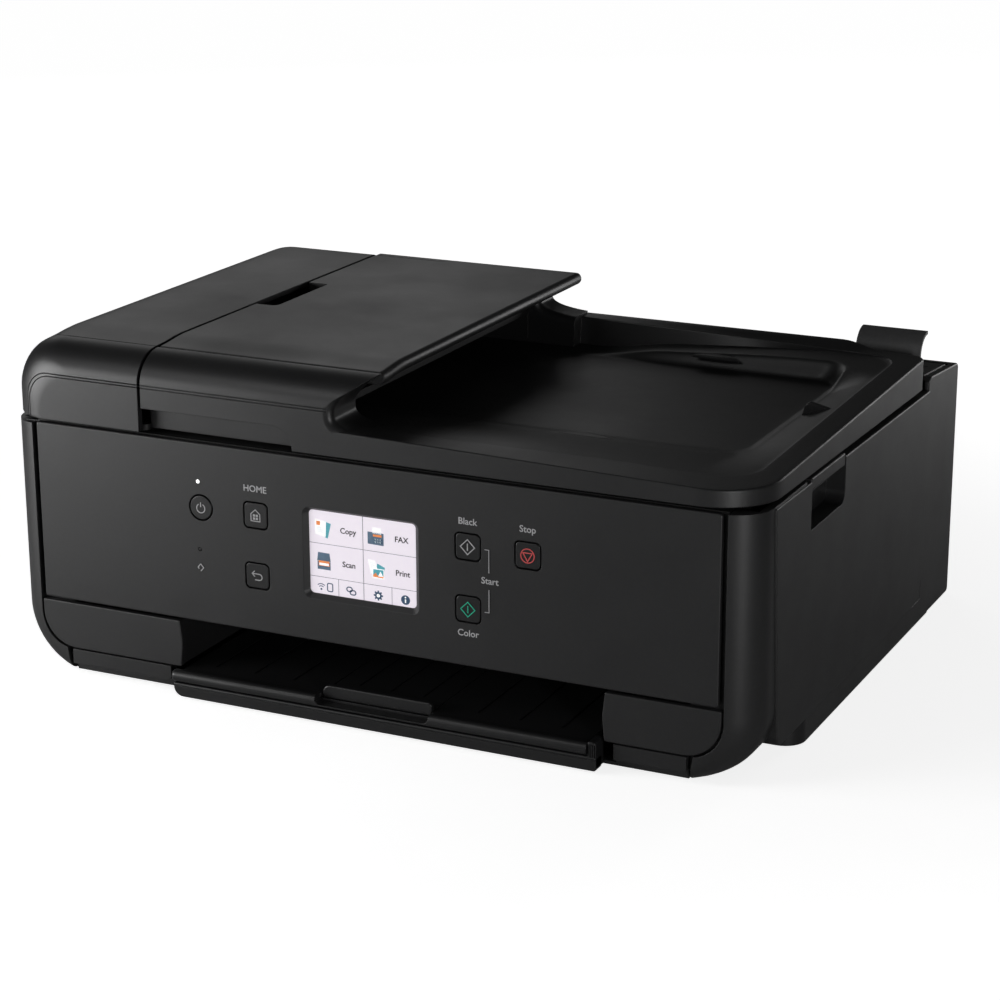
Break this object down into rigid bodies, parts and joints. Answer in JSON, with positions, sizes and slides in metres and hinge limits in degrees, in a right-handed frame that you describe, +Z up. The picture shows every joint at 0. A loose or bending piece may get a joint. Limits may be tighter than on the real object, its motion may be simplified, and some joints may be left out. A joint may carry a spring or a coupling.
{
  "type": "inkjet printer",
  "caption": "Black multifunction inkjet printer with a touch screen panel, a document feeder on the lid, a paper cassette, a pull-out output tray and a rear tray.",
  "frame": {"origin": "on the supporting surface, under the middle of the printer's overall box", "axes": "+X the printer's right (seen from the front), +Y its rear, +Z up"},
  "size_m": [0.438, 0.35, 0.1915],
  "materials": {
    "casing": "fine-textured satin black",
    "panel": "fine-textured satin black",
    "tray": "satin black",
    "button": "smooth black",
    "screen": "lit touch screen behind clear glass",
    "glass": "clear platen glass",
    "pad": "white pressure pad",
    "steel": "zinc-plated steel",
    "grey": "moulded dark grey",
    "rubber": "matte black rubber",
    "board": "green circuit board",
    "belt": "black toothed belt",
    "ink_cyan": "cyan ink tank",
    "ink_magenta": "magenta ink tank",
    "ink_yellow": "yellow ink tank",
    "ink_black": "black ink tank",
    "foam": "felt pad"
  },
  "bodies": {
    "printer_body": {"main_casing": "casing", "left_casing": "casing", "right_casing": "casing", "lower_left_panel": "panel", "lower_right_panel": "panel", "front_sill": "casing", "rear_access_cover": "casing", "foot_front_left": "rubber", "foot_front_right": "rubber", "foot_rear_left": "rubber", "foot_rear_right": "rubber", "inner_frame": "steel", "carriage_rail": "steel", "carriage_belt": "belt", "carriage_motor": "steel", "print_platen": "grey", "maintenance_unit": "grey", "ink_absorber": "foam", "power_supply": "grey", "logic_board": "board", "power_inlet": "tray", "rear_ports": "grey"},
    "feed_roller": {"feed_roller": "rubber"},
    "exit_roller": {"exit_roller": "rubber"},
    "carriage": {"print_carriage": "grey", "ink_tank_pigment_black": "ink_black", "ink_tank_yellow": "ink_yellow", "ink_tank_magenta": "ink_magenta", "ink_tank_cyan": "ink_cyan", "ink_tank_black": "ink_black"},
    "cassette": {"paper_cassette": "tray"},
    "cassette_guide_left": {"cassette_guide_left": "grey"},
    "cassette_guide_right": {"cassette_guide_right": "grey"},
    "output_tray": {"output_tray": "tray"},
    "tray_extension": {"tray_extension": "tray"},
    "control_panel": {"control_panel": "panel", "touch_screen": "screen", "panel_back": "panel", "panel_board": "board"},
    "scanner_unit": {"scanner_base": "casing", "platen_glass": "glass"},
    "scan_bar": {"scan_bar": "grey"},
    "document_cover": {"document_cover": "casing", "platen_pad": "pad", "adf_frame": "grey"},
    "adf_roller": {"adf_roller": "rubber"},
    "document_guide_front": {"document_guide_front": "grey"},
    "document_guide_rear": {"document_guide_rear": "grey"},
    "feeder_cover": {"feeder_cover": "casing"},
    "document_tray_lid": {"document_tray_lid": "casing"},
    "rear_tray_cover": {"rear_tray_cover": "casing"},
    "rear_guide_left": {"rear_guide_left": "grey"},
    "rear_guide_right": {"rear_guide_right": "grey"},
    "power_button": {"power_button": "button"},
    "home_button": {"home_button": "button"},
    "back_button": {"back_button": "button"},
    "black_start_button": {"black_start_button": "button"},
    "color_start_button": {"color_start_button": "button"},
    "stop_button": {"stop_button": "button"}
  },
  "joints": [
    {"name": "control_panel_tilt", "type": "hinge", "parent": "printer_body", "child": "control_panel", "pos_m": [0, -0.166, 0.1445], "axis": [-1, 0, 0], "range_deg": [0, 35]},
    {"name": "power_button_press", "type": "slide", "parent": "control_panel", "child": "power_button", "axis": [0, 1, 0], "range_m": [0, 0.0008], "stiffness_N_per_m": 400},
    {"name": "home_button_press", "type": "slide", "parent": "control_panel", "child": "home_button", "axis": [0, 1, 0], "range_m": [0, 0.0008], "stiffness_N_per_m": 400},
    {"name": "back_button_press", "type": "slide", "parent": "control_panel", "child": "back_button", "axis": [0, 1, 0], "range_m": [0, 0.0008], "stiffness_N_per_m": 400},
    {"name": "black_start_button_press", "type": "slide", "parent": "control_panel", "child": "black_start_button", "axis": [0, 1, 0], "range_m": [0, 0.0008], "stiffness_N_per_m": 400},
    {"name": "color_start_button_press", "type": "slide", "parent": "control_panel", "child": "color_start_button", "axis": [0, 1, 0], "range_m": [0, 0.0008], "stiffness_N_per_m": 400},
    {"name": "stop_button_press", "type": "slide", "parent": "control_panel", "child": "stop_button", "axis": [0, 1, 0], "range_m": [0, 0.0008], "stiffness_N_per_m": 400},
    {"name": "cassette_slide", "type": "slide", "parent": "printer_body", "child": "cassette", "axis": [0, -1, 0], "range_m": [0, 0.2]},
    {"name": "cassette_guide_left_slide", "type": "slide", "parent": "cassette", "child": "cassette_guide_left", "axis": [1, 0, 0], "range_m": [0, 0.045]},
    {"name": "cassette_guide_right_slide", "type": "slide", "parent": "cassette", "child": "cassette_guide_right", "axis": [-1, 0, 0], "range_m": [0, 0.045]},
    {"name": "output_tray_slide", "type": "slide", "parent": "cassette", "child": "output_tray", "axis": [0, -1, 0], "range_m": [0, 0.11]},
    {"name": "tray_extension_slide", "type": "slide", "parent": "output_tray", "child": "tray_extension", "axis": [0, -1, 0], "range_m": [0, 0.085]},
    {"name": "scanner_unit_lift", "type": "hinge", "parent": "printer_body", "child": "scanner_unit", "pos_m": [0, 0.1, 0.15], "axis": [-1, 0, 0], "range_deg": [0, 22]},
    {"name": "scan_bar_travel", "type": "slide", "parent": "scanner_unit", "child": "scan_bar", "axis": [1, 0, 0], "range_m": [0, 0.33]},
    {"name": "document_cover_lift", "type": "hinge", "parent": "scanner_unit", "child": "document_cover", "pos_m": [0, 0.1, 0.15], "axis": [-1, 0, 0], "range_deg": [0, 48]},
    {"name": "adf_roller_spin", "type": "hinge", "parent": "document_cover", "child": "adf_roller", "pos_m": [-0.16, -0.027, 0.168], "axis": [0, 1, 0], "continuous": true},
    {"name": "document_guide_front_slide", "type": "slide", "parent": "document_cover", "child": "document_guide_front", "axis": [0, 1, 0], "range_m": [0, 0.045]},
    {"name": "document_guide_rear_slide", "type": "slide", "parent": "document_cover", "child": "document_guide_rear", "axis": [0, -1, 0], "range_m": [0, 0.045]},
    {"name": "feeder_cover_open", "type": "hinge", "parent": "document_cover", "child": "feeder_cover", "pos_m": [-0.213, 0, 0.149], "axis": [0, -1, 0], "range_deg": [0, 65]},
    {"name": "document_tray_open", "type": "hinge", "parent": "document_cover", "child": "document_tray_lid", "pos_m": [-0.1275, 0, 0.188], "axis": [0, -1, 0], "range_deg": [0, 90]},
    {"name": "rear_tray_cover_open", "type": "hinge", "parent": "printer_body", "child": "rear_tray_cover", "pos_m": [0, 0.162, 0.143], "axis": [-1, 0, 0], "range_deg": [0, 100]},
    {"name": "rear_guide_left_slide", "type": "slide", "parent": "printer_body", "child": "rear_guide_left", "axis": [1, 0, 0], "range_m": [0, 0.05]},
    {"name": "rear_guide_right_slide", "type": "slide", "parent": "printer_body", "child": "rear_guide_right", "axis": [-1, 0, 0], "range_m": [0, 0.05]},
    {"name": "carriage_travel", "type": "slide", "parent": "printer_body", "child": "carriage", "axis": [-1, 0, 0], "range_m": [0, 0.285]},
    {"name": "feed_roller_spin", "type": "hinge", "parent": "printer_body", "child": "feed_roller", "pos_m": [0, 0.038, 0.05], "axis": [1, 0, 0], "continuous": true},
    {"name": "exit_roller_spin", "type": "hinge", "parent": "printer_body", "child": "exit_roller", "pos_m": [0, -0.05, 0.05], "axis": [1, 0, 0], "continuous": true}
  ],
  "couplings": [
    {"joint": "exit_roller_spin", "follows": "feed_roller_spin", "ratio": 1.3333},
    {"joint": "cassette_guide_right_slide", "follows": "cassette_guide_left_slide", "ratio": 1},
    {"joint": "document_guide_rear_slide", "follows": "document_guide_front_slide", "ratio": 1},
    {"joint": "rear_guide_right_slide", "follows": "rear_guide_left_slide", "ratio": 1}
  ]
}
